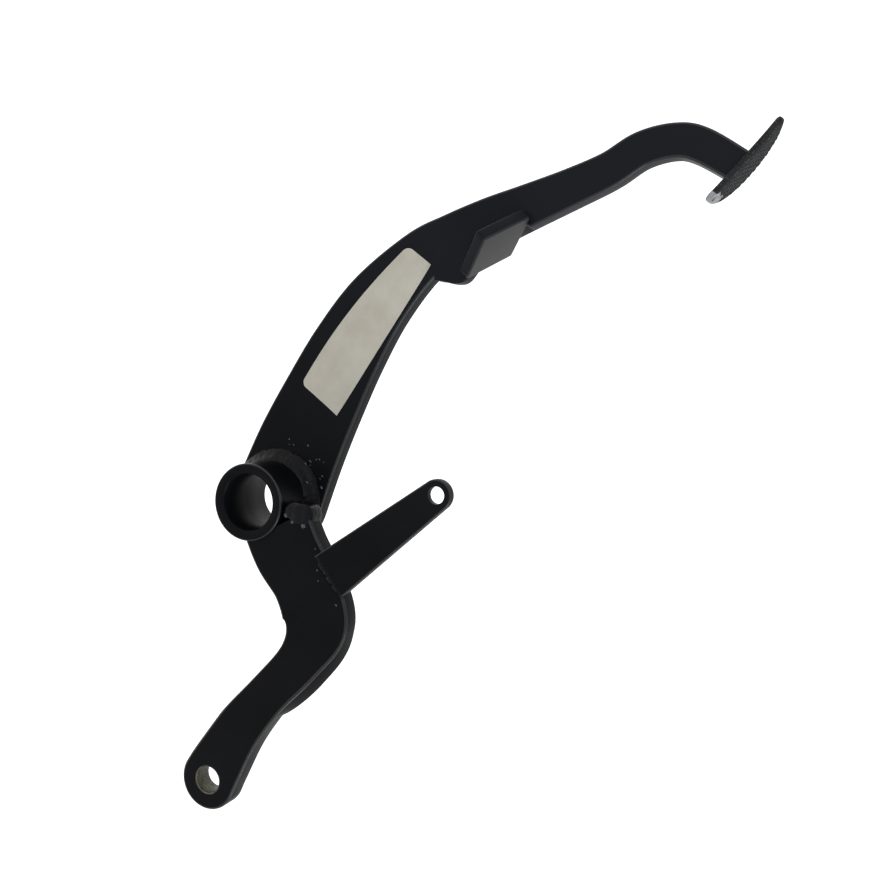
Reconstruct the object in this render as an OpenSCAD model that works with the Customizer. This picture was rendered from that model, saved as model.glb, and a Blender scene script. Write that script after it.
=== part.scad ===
// Rear brake pedal of a motorcycle, welded from flat steel and one tube.
// +X runs forward to the toe, +Y inboard along the pivot axis, +Z up.
// The origin is on the pivot axis, half way along the tube.

/* [Pivot tube] */
// Outside diameter of the pivot tube
tube_od = 26; // [23:0.5:30]
// Wall of the pivot tube
tube_wall = 3.5; // [2:0.25:5]
// Length of the pivot tube
tube_len = 26; // [25:0.5:32]
// Chamfer at each mouth of the bore
bore_chamfer = 0.5; // [0.2:0.1:1.2]
// Chamfer at the tube's outer rims
rim_chamfer = 0.5; // [0.2:0.1:1]

/* [Pedal arm] */
// Thickness of the arm's plate
arm_t = 6; // [4:0.5:7]
// From the tube's inboard rim to the arm's inboard face
arm_setback = 18.5; // [17:0.5:19]
// Width of the arm's plate left round the tube
arm_collar = 4.5; // [4:0.5:8]
// Forward distance from the pivot to the middle of the toe end
arm_reach = 177; // [150:1:200]
// Height of the toe end, under the tread, over the pivot
arm_rise = 52; // [42:0.5:60]
// How far the middle of the arm dips under the pivot
arm_dip = 13.4; // [8:0.1:18]
// Width of the arm at its toe end
toe_w = 9.6; // [8:0.2:12]

/* [Tread plate] */
// Length of the half-round tread plate, fore and aft
tread_len = 29; // [24:0.5:40]
// Width of the tread plate, across the bike
tread_w = 15.5; // [14:0.5:24]
// Thickness of the tread plate
tread_t = 2.4; // [2:0.1:4]
// Radius of the tread plate's two inboard corners
tread_corner = 2.5; // [1:0.5:5]
// Tilt of the tread plate, up towards the toe
tread_tilt = 3; // [0:0.5:8]

/* [Rod lever] */
// Thickness of the lever's plate
lever_t = 7; // [5:0.5:8]
// From the tube's inboard rim to the lever's inboard face
lever_setback = 1; // [0.5:0.1:2]
// Distance of the rod hole behind the pivot
rod_back = 75.3; // [65:0.1:90]
// Height of the rod hole over the pivot
rod_up = 52; // [45:0.5:60]
// Diameter of the rod hole
rod_hole_d = 8.6; // [6:0.1:10]
// Radius of the lever's round end
lever_end_r = 10; // [8:0.1:12]
// Width of the lever at the tube
lever_root_w = 26; // [22:0.2:28]
// Width of the lever at its waist
lever_waist_w = 15.5; // [12:0.5:18]
// How far inboard the lever's end is set by its joggle
joggle = 12; // [6:0.5:16]
// Length of the joggle along the lever
joggle_len = 26; // [22:0.5:32]

/* [Spring arm] */
// Thickness of the spring arm's plate
spring_t = 3; // [2:0.5:4]
// Distance of the spring arm's root in front of the pivot
spring_root_fwd = 3; // [0:0.5:5]
// Height of the spring arm's root over the pivot
spring_root_up = 38.5; // [37:0.5:40]
// Distance of the spring hole in front of the pivot
spring_fwd = 48.3; // [40:0.1:56]
// Height of the spring hole over the pivot
spring_up = 49.5; // [44:0.5:56]
// Diameter of the spring hole
spring_hole_d = 5.5; // [4:0.1:6.5]
// Radius of the spring arm's round end
spring_end_r = 5; // [4.5:0.1:7]
// Width of the spring arm where it lies on the lever
spring_root_w = 16; // [12:0.5:18]

/* [Stop plate] */
// Length of the stop plate's long sides
stop_long = 20.5; // [16:0.5:24]
// Length of the stop plate's short sides
stop_short = 18.5; // [14:0.5:22]
// Thickness of the stop plate
stop_t = 4; // [3:0.5:5]
// Tilt of the stop plate, up towards the toe
stop_tilt = 6; // [3:0.5:12]
// Turn of the stop plate about its own middle
stop_turn = 39; // [30:1:45]

/* [Welds] */
// Leg of the fillet weld round the tube on the inboard side
ring_leg = 4.2; // [2:0.1:4.4]
// Leg of the other fillet welds
weld_leg = 2.4; // [1.5:0.1:3]
// Radius of the weld that fills the notch between tube and lever
notch_weld_r = 3; // [2:0.1:4]

/* [Label] */
// Length of the paper strip on the arm
label_len = 60; // [40:1:62]
// Width of the strip at its end by the tube
label_w = 17.5; // [10:0.5:20]
// Width of the strip at its other end
label_tip_w = 10.5; // [6:0.5:12]
// Thickness of the strip
label_t = 0.2; // [0.1:0.05:0.4]

/* [Hidden] */
$fn = 64;
tube_r = tube_od / 2;
bore_r = tube_r - tube_wall;
rim_y = tube_len / 2;
arm_y = rim_y - arm_setback;
arm_back_y = arm_y - arm_t;
root_w = tube_od + 2 * arm_collar;
lever_y = rim_y - lever_setback;
spring_y = lever_y + spring_t;
rod_y = lever_y + joggle;
curve_steps = 6;
// Cutters run past the faces that they cut by this much
past = 1;
// Middle of the stop plate's underside: on the arm's upper edge and just inboard of the tube's middle
stop_x = 0.656 * arm_reach;
stop_z = 0.142 * arm_rise;
stop_y = -0.25 * arm_t;
stop_half = stop_short / 2 * cos(stop_turn) + stop_long / 2 * sin(stop_turn);
// The joggle runs along this direction, measured in the side view from forward to up
joggle_dir = 140;
joggle_start = 0.81 * rod_up;
// The tread's inboard edge stands this far inboard of the arm
tread_lip = 0.5;
// Middle of the tread's length, in front of the middle of the arm's toe end
tread_fwd = 0.3 * toe_w;
// Where the paper strip starts on the arm, and its turn
label_x = 0.21 * arm_reach;
label_z = -0.67 * arm_dip;
label_turn = -1.5;

// Stations of the arm: share of the reach, of the dip, of the rise, and of the taper
arm_shape = [
    [0, 0, 0, 0], [0.1025, 0.38, 0, 0.08], [0.207, 0.67, 0, 0.19], [0.317, 0.91, 0, 0.31],
    [0.428, 1, 0, 0.46], [0.5435, 0.79, 0, 0.67], [0.61, 0.37, 0, 0.72],
    [0.677, 0, 0.036, 0.76], [0.74, 0, 0.168, 0.835], [0.81, 0, 0.314, 0.905],
    [0.871, 0, 0.431, 0.94], [0.929, 0, 0.51, 0.955], [0.972, 0, 0.636, 0.97],
    [0.991, 0, 0.775, 0.975], [1, 0, 1.04, 1]
];
arm_line = [for (s = arm_shape)
    [s[0] * arm_reach, s[2] * arm_rise - s[1] * arm_dip, root_w + s[3] * (toe_w - root_w)]];

// Stations of the lever: along the line to the rod hole, and width
lever_line = [
    [0.012 * rod_back, 0.246 * rod_up, lever_root_w],
    [-0.04 * rod_back, 0.406 * rod_up, lever_root_w - 0.3],
    [-0.089 * rod_back, 0.632 * rod_up, lever_root_w - 2],
    [-0.178 * rod_back, 0.838 * rod_up, lever_root_w - 2],
    [-0.326 * rod_back, 0.922 * rod_up, lever_waist_w + 2.1],
    [-0.515 * rod_back, 0.936 * rod_up, lever_waist_w],
    [-0.72 * rod_back, 0.946 * rod_up, lever_waist_w + 0.8],
    [-0.92 * rod_back, 0.981 * rod_up, 2 * lever_end_r - 1],
    [-rod_back, rod_up, 2 * lever_end_r]
];

// Point of a smooth curve through four stations, t from the second to the third
function curve_point(a, b, c, d, t) =
    0.5 * (2 * b + (c - a) * t + (2 * a - 5 * b + 4 * c - d) * t * t
           + (3 * b - a - 3 * c + d) * t * t * t);

// All points of the smooth curve through the stations
function curve(s) = let (n = len(s))
    concat([for (i = [0 : n - 2], k = [0 : curve_steps - 1])
        curve_point(s[max(i - 1, 0)], s[i], s[i + 1], s[min(i + 2, n - 1)], k / curve_steps)],
        [s[n - 1]]);

// Unit normal of the curve at point i, to the left of its run
function normal_at(c, i) = let (
    a = c[max(i - 1, 0)], b = c[min(i + 1, len(c) - 1)],
    d = [b[0] - a[0], b[1] - a[1]])
    [-d[1], d[0]] / norm(d);

// Edge of a band of varying width on the curve, side 1 left and -1 right
function band_edge(c, side) = [for (i = [0 : len(c) - 1])
    [c[i][0], c[i][1]] + side * c[i][2] / 2 * normal_at(c, i)];

function reversed(p) = [for (i = [len(p) - 1 : -1 : 0]) p[i]];

// Half turn round end i of the curve, from side a0 (0 left, 180 right) on by the heading
function round_end(c, i, a0) = let (n = normal_at(c, i), steps = 24)
    [for (k = [1 : steps - 1]) let (a = a0 + 180 * k / steps)
        [c[i][0], c[i][1]] + c[i][2] / 2 * (cos(a) * n + sin(a) * [n[1], -n[0]])];

// Side view of a bar on the stations, with its first or last end rounded if asked
module band(stations, round_first, round_last) {
    c = curve(stations);
    last = len(c) - 1;
    polygon(concat(band_edge(c, 1), round_last ? round_end(c, last, 0) : [],
                   reversed(band_edge(c, -1)), round_first ? round_end(c, 0, 180) : []));
}

// Extrudes a side view from its inboard face to the thickness outboard
module side_plate(y, t) {
    translate([0, y, 0])
        rotate([90, 0, 0])
            linear_extrude(t)
                children();
}

// Cylinder along Y, from its inboard end
module cross_bore(x, y, z, d, length) {
    translate([x, y, z])
        rotate([90, 0, 0])
            cylinder(d = d, h = length);
}

// Quarter-round section of a fillet weld in the corner of two faces
module fillet(leg) {
    intersection() {
        circle(leg, $fn = 32);
        square(leg);
    }
}

// Places the stop plate's own frame: its middle at the origin, its underside on Z = 0
module at_stop() {
    translate([stop_x, stop_y, stop_z])
        rotate([0, -stop_tilt, 0])
            children();
}

// Rectangle of the stop plate turned nearly cornerwise, so that one corner points inboard
module stop_block(height) {
    rotate([0, 0, stop_turn])
        translate([-stop_short / 2, -stop_long / 2, 0])
            cube([stop_short, stop_long, height]);
}

// Side view of the weld metal that fills the bend of the arm's edge up to the stop plate
module stop_seat() {
    run = stop_half + arm_dip / 2;
    depth = 2 * stop_t;
    translate([stop_x, stop_z])
        rotate(stop_tilt)
            polygon([[-run - 1, -depth], [-run + 1, -0.6 * depth], [-run + 3.5, -0.15 * depth],
                     [-stop_half - 0.5, 0], [stop_half / 3, 0], [stop_half / 3, -1.2 * depth],
                     [-stop_half, -1.7 * depth]]);
}

module pedal_arm() {
    color([0.13, 0.13, 0.14])
        difference() {
            side_plate(arm_y, arm_t)
                difference() {
                    union() {
                        band(arm_line, true, false);
                        stop_seat();
                    }
                    circle(tube_r);
                    // Toe end cut to the tread's underside
                    translate([arm_reach, arm_rise])
                        rotate(tread_tilt)
                            translate([-2 * toe_w, 0])
                                square(4 * toe_w);
                }
            // Notch that takes the stop plate
            at_stop()
                stop_block(3 * stop_t);
        }
}

module pivot_tube() {
    mouth_r = bore_r + bore_chamfer;
    color([0.15, 0.15, 0.16])
        rotate([90, 0, 0])
            rotate_extrude()
                polygon([[mouth_r, -rim_y], [tube_r - rim_chamfer, -rim_y],
                         [tube_r, -rim_y + rim_chamfer], [tube_r, rim_y - rim_chamfer],
                         [tube_r - rim_chamfer, rim_y], [mouth_r, rim_y],
                         [bore_r, rim_y - bore_chamfer], [bore_r, -rim_y + bore_chamfer]]);
}

// Height of the joggle's ramp at u along it, from 0 to 1
function ramp(u) = let (k = min(max(u / joggle_len, 0), 1)) k * k * (3 - 2 * k);

// Thickness of the joggled plate measured along Y, at u along the ramp
function ramp_t(u) = let (
    k = min(max(u / joggle_len, 0), 1), slope = 6 * k * (1 - k) * joggle / joggle_len)
    lever_t * sqrt(1 + slope * slope);

// Plate with a joggle, longer and wider than any lever cut from it
module joggled_plate() {
    steps = 20;
    us = concat([-2 * rod_up], [for (i = [0 : steps]) i / steps * joggle_len], [2 * rod_back]);
    near = [for (u = us) [u, lever_y + joggle * ramp(u)]];
    far = [for (u = us) [u, lever_y + joggle * ramp(u) - ramp_t(u)]];
    rotate([0, -joggle_dir, 0])
        translate([joggle_start, 0, -2 * rod_up])
            linear_extrude(4 * rod_up)
                polygon(concat(near, reversed(far)));
}

module rod_lever() {
    depth = joggle + 2 * lever_t;
    color([0.13, 0.13, 0.14])
        difference() {
            intersection() {
                side_plate(rod_y + past, depth)
                    band(lever_line, false, true);
                joggled_plate();
            }
            cross_bore(0, rod_y + 2 * past, 0, tube_od, depth + 2 * past);
            cross_bore(-rod_back, rod_y + past, rod_up, rod_hole_d, lever_t + 2 * past);
        }
}

// The spring arm's line from its root to its hole
spring_root = [spring_root_fwd, spring_root_up];
spring_tip = [spring_fwd, spring_up];
spring_run = norm(spring_tip - spring_root);
spring_lean = atan2(spring_up - spring_root_up, spring_fwd - spring_root_fwd);

// Straight arm that tapers from its root to a round end with a hole
module spring_arm() {
    narrowing = asin((spring_root_w / 2 - spring_end_r) / spring_run);
    touch_x = spring_run + spring_end_r * sin(narrowing);
    touch_y = spring_end_r * cos(narrowing);
    color([0.14, 0.14, 0.15])
        side_plate(spring_y, spring_t)
            translate(spring_root)
                rotate(spring_lean)
                    difference() {
                        union() {
                            polygon([[0, -spring_root_w / 2], [touch_x, -touch_y],
                                     [touch_x, touch_y], [0, spring_root_w / 2]]);
                            translate([spring_run, 0])
                                circle(spring_end_r);
                        }
                        translate([spring_run, 0])
                            circle(d = spring_hole_d);
                    }
}

// Half-round plan of the tread: an arc cut by a rectangle whose inboard corners are rounded
module tread_plan() {
    half = tread_len / 2;
    arc_r = (half * half + tread_w * tread_w) / (2 * tread_w);
    intersection() {
        translate([0, arc_r - tread_w])
            circle(arc_r, $fn = 128);
        union() {
            translate([-half, -tread_w])
                square([tread_len, tread_w - tread_corner]);
            translate([tread_corner - half, -tread_corner])
                square([tread_len - 2 * tread_corner, tread_corner]);
            for (side = [-1, 1])
                translate([side * (half - tread_corner), -tread_corner])
                    circle(tread_corner);
        }
    }
}

module tread_plate() {
    color([0.2, 0.2, 0.2])
        translate([arm_reach, arm_y + tread_lip, arm_rise])
            rotate([0, -tread_tilt, 0])
                translate([tread_fwd, 0, 0])
                    linear_extrude(tread_t)
                        tread_plan();
}

// Flat plate that the frame's stop meets
module stop_plate() {
    color([0.3, 0.3, 0.3])
        at_stop()
            stop_block(stop_t);
}

module tube_weld(leg, y, side) {
    color([0.16, 0.16, 0.17])
        translate([0, y, 0])
            rotate([-90 * side, 0, 0])
                rotate_extrude()
                    translate([tube_r, 0])
                        fillet(leg);
}

module tube_weld_inboard() {
    tube_weld(ring_leg, arm_y, 1);
}

module tube_weld_outboard() {
    tube_weld(min(weld_leg, rim_y + arm_back_y), arm_back_y, -1);
}

// Weld of the lever: a fillet round the tube on its outboard face, and a run in the notch
// between the tube and the lever's forward corner, a fillet's leg forward of and over the
// point of the tube's wall that looks there
module lever_weld() {
    weld_y = lever_y - lever_t;
    notch = 0.7 * tube_r + weld_leg;
    color([0.16, 0.16, 0.17]) {
        intersection() {
            translate([0, weld_y, 0])
                rotate([90, 0, 0])
                    rotate_extrude()
                        translate([tube_r, 0])
                            fillet(weld_leg);
            side_plate(weld_y, weld_leg)
                polygon([[0, 0], [-3 * tube_r, 3 * tube_r], [0, 4 * tube_r],
                         [3 * tube_r, 4 * tube_r]]);
        }
        difference() {
            cross_bore(notch, lever_y, notch, 2 * notch_weld_r, lever_t);
            cross_bore(0, lever_y + past, 0, tube_od, lever_t + 2 * past);
            side_plate(lever_y + past, lever_t + 2 * past)
                band(lever_line, false, true);
        }
    }
}

// Fillet along the spring arm's root, on the lever's inboard face
module spring_arm_weld() {
    run = 0.88 * spring_root_w;
    color([0.16, 0.16, 0.17])
        translate([spring_root_fwd, lever_y, spring_root_up])
            rotate([0, -spring_lean, 0])
                translate([0, 0, -run / 2])
                    linear_extrude(run)
                        mirror([1, 0])
                            fillet(min(spring_t, weld_leg));
}

// Fillet under the tread plate on the arm's outboard face
module tread_weld() {
    run = 0.8 * toe_w;
    color([0.16, 0.16, 0.17])
        translate([arm_reach, arm_back_y, arm_rise])
            rotate([0, -tread_tilt, 0])
                translate([-run / 2, 0, 0])
                    rotate([0, 90, 0])
                        linear_extrude(run)
                            mirror([0, 1])
                                fillet(weld_leg);
}

// Fillets under the stop plate on both faces of the arm
module stop_weld() {
    run = stop_half;
    color([0.16, 0.16, 0.17])
        translate([stop_x, 0, stop_z])
            rotate([0, -stop_tilt, 0]) {
                translate([-run / 2, arm_y, 0])
                    rotate([0, 90, 0])
                        linear_extrude(run)
                            fillet(weld_leg);
                translate([-run / 4, arm_back_y, 0])
                    rotate([0, 90, 0])
                        linear_extrude(run / 2)
                            mirror([0, 1])
                                fillet(weld_leg);
            }
}

// Bare paper strip stuck on the arm's inboard face
module label_strip() {
    color([0.8, 0.78, 0.7])
        side_plate(arm_y + label_t, label_t)
            translate([label_x, label_z])
                rotate(label_turn)
                    polygon([[0, -label_w / 2], [label_len, -label_tip_w / 2],
                             [label_len, label_tip_w / 2], [0, label_w / 2]]);
}

pedal_arm();
pivot_tube();
rod_lever();
spring_arm();
tread_plate();
stop_plate();
tube_weld_inboard();
tube_weld_outboard();
lever_weld();
spring_arm_weld();
tread_weld();
stop_weld();
label_strip();
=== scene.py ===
# Looks of a welded rear brake pedal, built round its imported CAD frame.
# Lengths in the dictionaries are millimetres, in the frame of the CAD: X forward, Y inboard, Z up.
import bmesh
import bpy
import numpy as np
from mathutils import Matrix


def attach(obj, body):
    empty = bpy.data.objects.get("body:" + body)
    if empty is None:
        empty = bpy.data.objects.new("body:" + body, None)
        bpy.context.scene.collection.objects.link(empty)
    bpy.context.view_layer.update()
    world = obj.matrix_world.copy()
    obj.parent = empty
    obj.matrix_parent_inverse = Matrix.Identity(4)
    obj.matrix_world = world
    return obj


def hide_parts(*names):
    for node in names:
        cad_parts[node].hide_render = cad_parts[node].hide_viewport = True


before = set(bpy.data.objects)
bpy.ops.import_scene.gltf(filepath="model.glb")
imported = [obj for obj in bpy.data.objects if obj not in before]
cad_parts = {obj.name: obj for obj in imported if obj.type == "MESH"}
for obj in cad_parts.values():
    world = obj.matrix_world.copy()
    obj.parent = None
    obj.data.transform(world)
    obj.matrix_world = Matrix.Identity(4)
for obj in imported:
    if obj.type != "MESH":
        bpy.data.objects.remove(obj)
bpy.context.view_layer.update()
print("stage: frame loaded")

# Sizes of the pieces that others are fitted to; those of the welds, the label and the stage stand
# beside their code
tube = {"radius": 13.0, "bore": 9.5, "half": 13.0, "chamfer": 0.5, "edge": 0.5, "soft": 0.1,
        "waist": 1.0, "steps": 160}
arm = {"face": -5.5, "thick": 6.0, "edge": 0.75, "reach": 177.0, "rise": 52.0, "dip": 13.385,
       "rootWidth": 35.0, "toeWidth": 9.6, "hole": 12.9, "bevel": 0.2, "across": 10, "steps": 16}
lever = {"face": 12.0, "thick": 7.0, "edge": 0.8, "back": 75.3, "up": 52.0, "hole": 4.3,
         "bevel": 0.5, "joggle": 11.995, "joggleLength": 26.0, "joggleStart": 42.12,
         "joggleTurn": 140.0, "across": 14, "steps": 18}
spring = {"face": 15.0, "thick": 3.0, "edge": 0.5, "root": (3.0, 38.5), "tip": (48.3, 49.5),
          "hole": 2.75, "bevel": 0.3, "rootWidth": 16.0, "endRadius": 5.0, "across": 6,
          "steps": 40}
tread = {"half": 15.1, "width": 15.5, "thick": 2.4, "corner": 2.5, "edge": 0.7, "tilt": 3.0,
         "x": 177.0, "z": 52.0, "forward": 2.24, "inboard": -5.0, "crown": 0.4, "skew": 0.12,
         "cell": 0.14, "rowShare": 1.35, "tooth": 0.35, "pitch": 2.1, "slant": 0.62,
         "sharpness": 2.2, "plainRim": 0.8, "highlightLine": -11.6, "highlightInboardOf": -12}
stop = {"long": 20.5, "short": 18.5, "thick": 4.0, "edge": 0.6, "corner": 1.1, "tilt": 6.0,
        "turn": 39.0, "x": 116.112, "y": -1.5, "z": 7.384}
# How far a plate that is cut to a neighbour reaches into it, and where along the arm that holds
fits = {"tube": 0.3, "tread": 0.6, "treadFrom": 160, "stopSide": 0.4, "stopTop": 0.5, "stopUnder": 30}
# Grid of a plate's round end: where the cross sections give way to rings, counted in half widths
# from the hole, and the steps round the end, from the hole to the edge and over the hole's bevel
plateEnd = {"from": 1.12, "around": 40, "rings": 9, "bevel": 4}

# Stations of the arm: share of the reach, of the dip, of the rise, and of the taper
armShape = np.array([
    [0, 0, 0, 0], [0.1025, 0.38, 0, 0.08], [0.207, 0.67, 0, 0.19], [0.317, 0.91, 0, 0.31],
    [0.428, 1, 0, 0.46], [0.5435, 0.79, 0, 0.67], [0.61, 0.37, 0, 0.72],
    [0.677, 0, 0.036, 0.76], [0.74, 0, 0.168, 0.835], [0.81, 0, 0.314, 0.905],
    [0.871, 0, 0.431, 0.94], [0.929, 0, 0.51, 0.955], [0.972, 0, 0.636, 0.97],
    [0.991, 0, 0.775, 0.975], [1, 0, 1.04, 1]])
# Stations of the lever: share of the way to the rod hole, minus being backward, share of the way up
# to it, then width
leverShape = np.array([
    [0.012, 0.246, 26.0], [-0.04, 0.406, 25.7], [-0.089, 0.632, 24.0], [-0.178, 0.838, 24.0],
    [-0.326, 0.922, 17.6], [-0.515, 0.936, 15.5], [-0.72, 0.946, 16.3], [-0.92, 0.981, 19.0],
    [-1.0, 1.0, 19.96]])


# Adds one mesh object whose points are given in millimetres; seams between grids are welded shut
def addPiece(name, parts, materials, smooth=True):
    points = np.vstack([p for p, f, m in parts])
    starts = np.cumsum([0] + [len(p) for p, f, m in parts])
    faces = [[i + start for i in face] for (p, f, m), start in zip(parts, starts) for face in f]
    marks = np.concatenate([np.broadcast_to(m, len(f)) for p, f, m in parts])
    mesh = bpy.data.meshes.new(name)
    mesh.from_pydata((points * 0.001).tolist(), [], faces)
    mesh.polygons.foreach_set("material_index", marks.astype(np.int32))
    b = bmesh.new()
    b.from_mesh(mesh)
    bmesh.ops.remove_doubles(b, verts=b.verts, dist=2e-6)
    bmesh.ops.dissolve_degenerate(b, edges=b.edges, dist=1e-6)
    bmesh.ops.recalc_face_normals(b, faces=b.faces)
    b.to_mesh(mesh)
    b.free()
    mesh.polygons.foreach_set("use_smooth", np.full(len(mesh.polygons), smooth))
    for material in materials:
        mesh.materials.append(material)
    piece = bpy.data.objects.new(name, mesh)
    bpy.context.scene.collection.objects.link(piece)
    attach(piece, "root")
    return piece


# Quads of a two-parameter grid of points, rows by columns, closed along either way if asked; the
# mark picks the material, one for all, one for each column, or one for each row
def gridPart(points, closeRows=False, closeColumns=False, mark=0):
    rows, columns = points.shape[:2]
    r = np.arange(rows if closeRows else rows - 1)[:, None]
    c = np.arange(columns if closeColumns else columns - 1)[None, :]
    r2 = (r + 1) % rows
    c2 = (c + 1) % columns
    quads = np.stack([r * columns + c, r * columns + c2, r2 * columns + c2, r2 * columns + c], -1)
    marks = np.broadcast_to(mark, quads.shape[:2]).ravel()
    return points.reshape(-1, 3), quads.reshape(-1, 4).tolist(), marks


# One flat face over a closed loop of points
def capPart(points, mark=0):
    return points, [list(range(len(points)))], mark


# Smooth line through stations: on each stretch the cubic
# 0.5 (2b + (c - a) t + (2a - 5b + 4c - d) t^2 + (3b - a - 3c + d) t^3) of four neighbours
def smoothLine(stations, steps):
    s = np.asarray(stations, float)
    p = np.vstack([s[:1], s, s[-1:]])
    a, b, c, d = (x[:, None, :] for x in (p[:-3], p[1:-2], p[2:-1], p[3:]))
    t = (np.arange(steps) / steps)[None, :, None]
    run = 0.5 * (2 * b + (c - a) * t + (2 * a - 5 * b + 4 * c - d) * t ** 2
                 + (3 * b - a - 3 * c + d) * t ** 3)
    return np.vstack([run.reshape(-1, s.shape[1]), s[-1:]])


# Unit normals to the left of a line's run, from the points before and after each
def leftNormals(line):
    before = np.vstack([line[:1], line[:-1]])
    after = np.vstack([line[1:], line[-1:]])
    run = (after - before)[:, :2]
    run = run / np.linalg.norm(run, axis=1)[:, None]
    return np.stack([-run[:, 1], run[:, 0]], 1)


# Outward step and depth of a rounded plate edge: a quarter circle, the flat, and a quarter circle
def edgeProfile(radius, thick, steps=6):
    a = np.linspace(0, np.pi / 2, steps + 1)
    out = np.concatenate([np.sin(a), np.sin(a)[::-1]]) * radius
    deep = np.concatenate([1 - np.cos(a), 0 * a]) * radius
    deep[steps + 1:] = thick - (1 - np.cos(a[::-1])) * radius
    return out, deep


# Marks of the stretches of an edge profile: its two quarter circles take the mark, its flat doesn't
def edgeMarks(count, mark):
    marks = np.full(count - 1, mark)
    marks[count // 2 - 1] = 0
    return marks


# Plate whose side view is a band along a line, with a round end and a hole at the line's last
# point: sections across the line first, then rings from the hole out to the rounded edge; marks are
# the materials of the rounded edge and of the hole's wall
def bandPlate(line, values, place, marks=(1, 0)):
    edge, thick, across = values["edge"], values["thick"], values["across"]
    centre, half, normal = line[:, :2], line[:, 2] / 2, leftNormals(line)
    last = centre[-1]
    far = np.linalg.norm(centre - last, axis=1)
    cut = np.flatnonzero(far > plateEnd["from"] * half[-1])[-1]
    out, deep = edgeProfile(edge, thick)
    k = np.linspace(1, -1, across + 1)
    share = np.concatenate([k, -np.ones(len(out)), -k, np.ones(len(out))])
    offset = np.concatenate([0 * k, -out, 0 * k, out[::-1]])
    depth = np.concatenate([0 * k, deep, 0 * k + thick, deep[::-1]])
    reach = share[None] * (half[:cut + 1, None] - edge) + offset[None]
    flat = centre[:cut + 1, None] + reach[..., None] * normal[:cut + 1, None]
    band = place(flat[..., 0], flat[..., 1], np.broadcast_to(depth, reach.shape))
    onEdge = edgeMarks(len(out), marks[0])
    onFace = np.zeros(len(k) + 1, int)
    onBand = np.concatenate([onFace[:-1], onEdge, onFace, onEdge, [0]])
    parts = [gridPart(band, closeColumns=True, mark=onBand), capPart(band[0])]
    turn = np.linspace(0, np.pi, plateEnd["around"])[1:-1, None]
    heading = np.array([normal[-1, 1], -normal[-1, 0]])
    outward = np.vstack([-normal[cut:], -np.cos(turn) * normal[-1] + np.sin(turn) * heading,
                         normal[cut:][::-1]])
    sides = np.concatenate([half[cut:], np.full(len(turn), half[-1]), half[cut:][::-1]])
    middles = np.vstack([centre[cut:], np.repeat(last[None], len(turn), 0), centre[cut:][::-1]])
    inset = middles + (sides - edge)[:, None] * outward
    rim = inset[:, None] + out[None, :, None] * outward[:, None]
    rimDeep = np.broadcast_to(deep, rim.shape[:2])
    parts.append(gridPart(place(rim[..., 0], rim[..., 1], rimDeep), mark=onEdge))
    cross = centre[cut] + k[1:-1, None] * (half[cut] - edge) * normal[cut]
    loop = np.vstack([inset, cross])
    angle = np.arctan2(loop[:, 1] - last[1], loop[:, 0] - last[0])
    circle = np.stack([np.cos(angle), np.sin(angle)], 1)
    mouth = values["hole"] + values["bevel"]
    v = np.linspace(0, 1, plateEnd["rings"])[:, None, None]
    ring = (last + mouth * circle)[None] * (1 - v) + loop[None] * v
    for deepness in (0.0, thick):
        flatDeep = np.full(ring.shape[:2], deepness)
        parts.append(gridPart(place(ring[..., 0], ring[..., 1], flatDeep), closeColumns=True))
    wallOut, wallDeep = edgeProfile(values["bevel"], thick, plateEnd["bevel"])
    wall = last + (mouth - wallOut)[:, None, None] * circle[None]
    wallDepths = np.broadcast_to(wallDeep[:, None], wall.shape[:2])
    wallPart = place(wall[..., 0], wall[..., 1], wallDepths)
    parts.append(gridPart(wallPart, closeColumns=True, mark=marks[1]))
    return parts


# Flat plate: depth runs outboard from its inboard face
def flatPlace(face):
    return lambda x, z, q: np.stack([x, face - q, z], -1)


# Pedal arm: a flat plate, cut to the tread's underside and notched to take the stop plate
def armPlace(x, z, q):
    y = arm["face"] - q
    underTread = tread["z"] + (x - tread["x"]) * np.tan(np.radians(tread["tilt"])) + fits["tread"]
    t = np.radians(stop["turn"])
    a = (x - stop["x"]) * np.cos(t) + (y - stop["y"]) * np.sin(t)
    b = (y - stop["y"]) * np.cos(t) - (x - stop["x"]) * np.sin(t)
    inStop = ((np.abs(a) < stop["short"] / 2 - fits["stopSide"])
              & (np.abs(b) < stop["long"] / 2 - fits["stopSide"]))
    stopTop = (stop["z"] + (x - stop["x"]) * np.tan(np.radians(stop["tilt"])) + stop["thick"]
               - fits["stopTop"])
    low = np.where(x > fits["treadFrom"], np.minimum(z, underTread), z)
    low = np.where(inStop & (z < fits["stopUnder"]), np.minimum(low, stopTop), low)
    return np.stack([x, y, low], -1)


# Bent plate: the inboard face climbs by J k^2 (3 - 2k), k being the share of the joggle's length,
# and depth runs square to that slope, so the edges lean as those of a plate bent after cutting
def bentPlace(values):
    turn = np.radians(values["joggleTurn"])
    ux, uz = np.cos(turn), np.sin(turn)
    climb, length = values["joggle"], values["joggleLength"]

    # Points that would lie in the tube move straight out to its wall, as the plate is coped to it
    def place(x, z, q):
        out = np.maximum(1, (tube["radius"] - fits["tube"]) / np.maximum(np.hypot(x, z), 1))
        x, z = x * out, z * out
        k = np.clip((x * ux + z * uz - values["joggleStart"]) / length, 0, 1)
        face = values["face"] + climb * k * k * (3 - 2 * k)
        slope = 6 * k * (1 - k) * climb / length
        lean = np.sqrt(1 + slope ** 2)
        return np.stack([x + q * slope * ux / lean, face - q / lean, z + q * slope * uz / lean], -1)
    return place


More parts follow.
